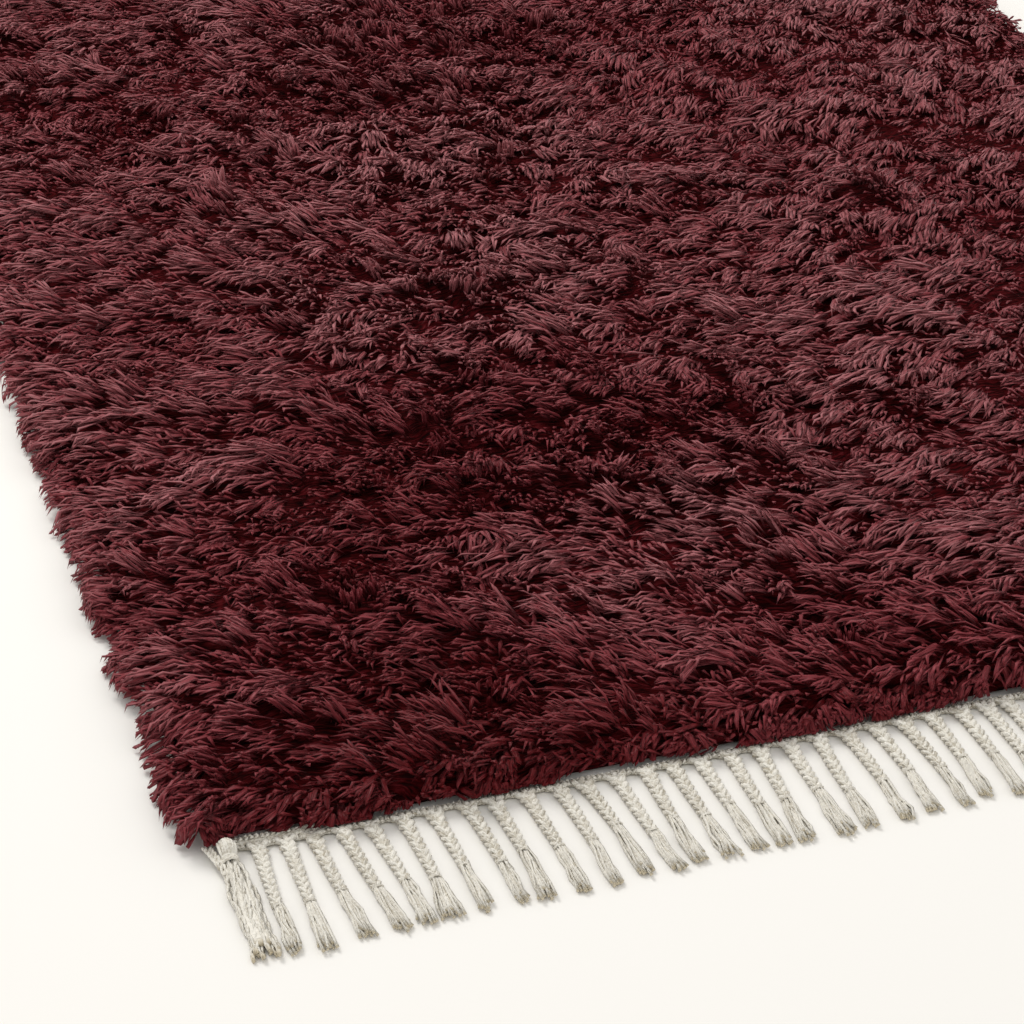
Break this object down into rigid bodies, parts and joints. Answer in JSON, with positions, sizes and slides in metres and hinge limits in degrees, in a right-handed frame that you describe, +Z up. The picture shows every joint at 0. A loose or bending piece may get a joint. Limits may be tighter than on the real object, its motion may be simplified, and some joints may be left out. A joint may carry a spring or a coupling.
{
  "type": "fringed shag rug",
  "caption": "Deep-pile shag rug lying flat, with a narrow woven band, braided tassels and corner hanks at both short ends.",
  "frame": {"origin": "middle of the underside, on the floor", "axes": "+X along the short ends, +Y along the long sides, +Z up out of the pile"},
  "size_m": [1.2576, 2.0426, 0.0413],
  "materials": {
    "wool_pile": "long hand-spun wool pile, deep burgundy, soft sheen along the yarn",
    "cotton_fringe": "undyed off-white cotton yarn, braided, matt",
    "ground_weave": "plain woven undyed cotton ground with rows of burgundy knots on its underside"
  },
  "bodies": {
    "root": {"pile": "wool_pile", "fringe_near": "cotton_fringe", "fringe_far": "cotton_fringe", "hank_near_left": "cotton_fringe", "hank_near_right": "cotton_fringe", "hank_far_left": "cotton_fringe", "hank_far_right": "cotton_fringe"}
  },
  "joints": []
}
